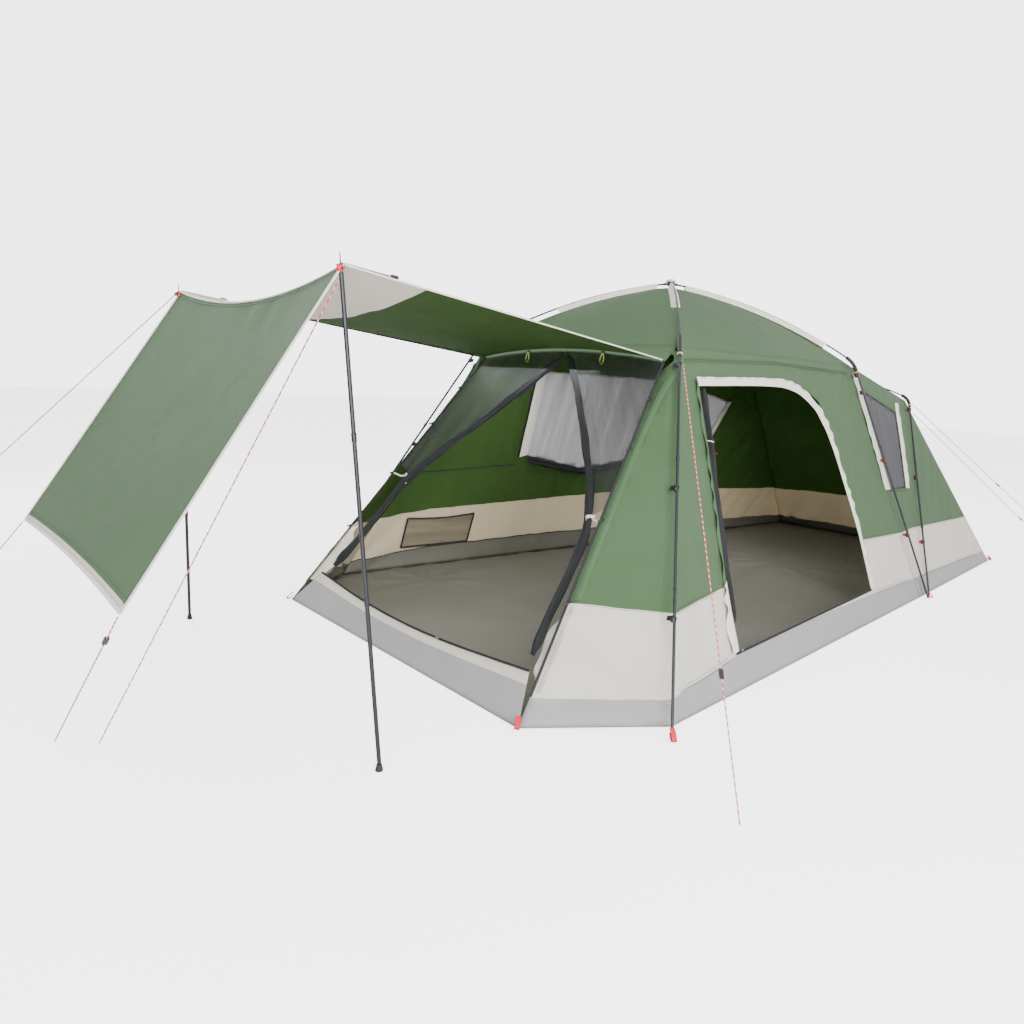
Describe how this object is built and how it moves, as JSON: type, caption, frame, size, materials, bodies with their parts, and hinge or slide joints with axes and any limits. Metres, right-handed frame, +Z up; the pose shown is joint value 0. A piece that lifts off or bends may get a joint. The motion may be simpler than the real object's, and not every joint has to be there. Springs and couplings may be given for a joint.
{
  "type": "screen house",
  "caption": "Family camping tent on a hub-and-leg frame, with a sewn-in floor, mesh doors and windows, a rear room, and a canopy on two porch poles held by guy ropes.",
  "frame": {"origin": "on the ground, at the middle of the width and length of the tent with its canopy", "axes": "+Z up, the doorway and the canopy face -Y, the rear room is towards +Y, and the tent's side door is on +X"},
  "size_m": [3.9903, 8.4935, 2.115],
  "materials": {
    "black_plastic": "moulded black plastic, fine texture",
    "black_pole": "powder-coated steel tube, satin black",
    "black_rod": "pultruded glass-fibre rod, glossy black",
    "cream_cloth": "coated polyester taffeta, matte cream",
    "dark_roll_cloth": "rolled coated cloth, dark green",
    "green_canopy_cloth": "coated polyester taffeta, satin, translucent against light",
    "green_roof_cloth": "coated polyester taffeta, satin, fine plain weave",
    "green_wall_cloth": "coated polyester taffeta, satin, fine plain weave",
    "grey_floor_sheet": "woven polyethylene sheet, semi-matte",
    "guy_rope": "braided red and white cord",
    "insect_mesh": "fine knitted insect mesh, dark, see-through",
    "rubber_foot": "moulded rubber, matte",
    "runner_plastic": "moulded black plastic, fine texture",
    "steel_leg": "powder-coated steel tube, satin dark grey",
    "zip_metal": "black painted zinc, satin"
  },
  "bodies": {
    "tent": {"roof_rod_front_right": "black_rod", "shoulder_elbow_front_right": "black_plastic", "front_right_leg": "steel_leg", "roof_rod_front_left": "black_rod", "shoulder_elbow_front_left": "black_plastic", "front_left_leg": "steel_leg", "roof_rod_rear_right": "black_rod", "shoulder_elbow_rear_right": "black_plastic", "rear_right_leg": "steel_leg", "roof_rod_rear_left": "black_rod", "shoulder_elbow_rear_left": "black_plastic", "rear_left_leg": "steel_leg", "roof_hub": "black_plastic", "rear_arch_elbow_right": "black_plastic", "rear_arch_leg_right": "steel_leg", "rear_arch_elbow_left": "black_plastic", "rear_arch_leg_left": "steel_leg", "rear_arch_rod": "black_rod", "porch_pole_right": "black_pole", "porch_pole_foot_right": "rubber_foot", "porch_pole_left": "black_pole", "porch_pole_foot_left": "rubber_foot", "groundsheet": "grey_floor_sheet", "front_sill": "cream_cloth", "front_wedge_panel_right": "green_wall_cloth", "front_wedge_panel_left": "green_wall_cloth", "right_side_wall": "green_wall_cloth", "left_side_wall": "green_wall_cloth", "left_window_mesh": "insect_mesh", "rear_room_wall_right": "green_wall_cloth", "rear_window_mesh_right": "insect_mesh", "rear_room_wall_left": "green_wall_cloth", "rear_window_mesh_left": "insect_mesh", "rear_wall": "green_wall_cloth", "roof_panel_front": "green_roof_cloth", "roof_panel_rear": "green_roof_cloth", "roof_panel_right": "green_roof_cloth", "roof_panel_left": "green_roof_cloth", "rear_room_roof": "green_roof_cloth", "canopy": "green_canopy_cloth", "mesh_curtain_right": "insect_mesh", "mesh_curtain_left": "insect_mesh", "side_door_roll": "insect_mesh", "left_window_roll": "dark_roll_cloth", "organiser_pocket": "insect_mesh", "guy_rope_porch_right": "guy_rope", "guy_rope_porch_left": "guy_rope", "guy_rope_front_leg": "guy_rope", "guy_rope_rear_upper": "guy_rope", "guy_rope_rear_lower": "guy_rope"},
    "porch_flap": {"porch_flap": "green_canopy_cloth", "guy_rope_flap_right": "guy_rope", "guy_rope_flap_left": "guy_rope"},
    "flap_runner": {"rope_runner_flap": "runner_plastic"},
    "front_leg_runner": {"rope_runner_front_leg": "runner_plastic"},
    "rear_upper_runner": {"rope_runner_rear_upper": "runner_plastic"},
    "rear_lower_runner": {"rope_runner_rear_lower": "runner_plastic"},
    "front_sill_slider": {"front_sill_zip_slider": "zip_metal"},
    "side_door_slider": {"side_door_zip_slider": "zip_metal"}
  },
  "joints": [
    {"name": "porch_flap_hinge", "type": "hinge", "parent": "tent", "child": "porch_flap", "pos_m": [0, -2.907, 1.778], "axis": [-1, 0, 0], "range_deg": [0, 55]},
    {"name": "flap_runner_slide", "type": "slide", "parent": "porch_flap", "child": "flap_runner", "axis": [-0.7184, -0.0784, -0.6912], "range_m": [-0.08, 0.6]},
    {"name": "front_leg_runner_slide", "type": "slide", "parent": "tent", "child": "front_leg_runner", "axis": [0.5303, -0.4726, -0.7039], "range_m": [-1.3, 0.2]},
    {"name": "rear_upper_runner_slide", "type": "slide", "parent": "tent", "child": "rear_upper_runner", "axis": [0.3876, 0.7369, -0.5539], "range_m": [-0.9, 0.9]},
    {"name": "rear_lower_runner_slide", "type": "slide", "parent": "tent", "child": "rear_lower_runner", "axis": [0.3803, 0.7283, -0.5701], "range_m": [-1.2, 0.6]},
    {"name": "front_sill_slider_slide", "type": "slide", "parent": "tent", "child": "front_sill_slider", "axis": [0.9964, 0.0569, 0.0628], "range_m": [0, 0.56]},
    {"name": "side_door_slider_slide", "type": "slide", "parent": "tent", "child": "side_door_slider", "axis": [-0.0761, 0.997, 0.014], "range_m": [0, 1.6]}
  ]
}
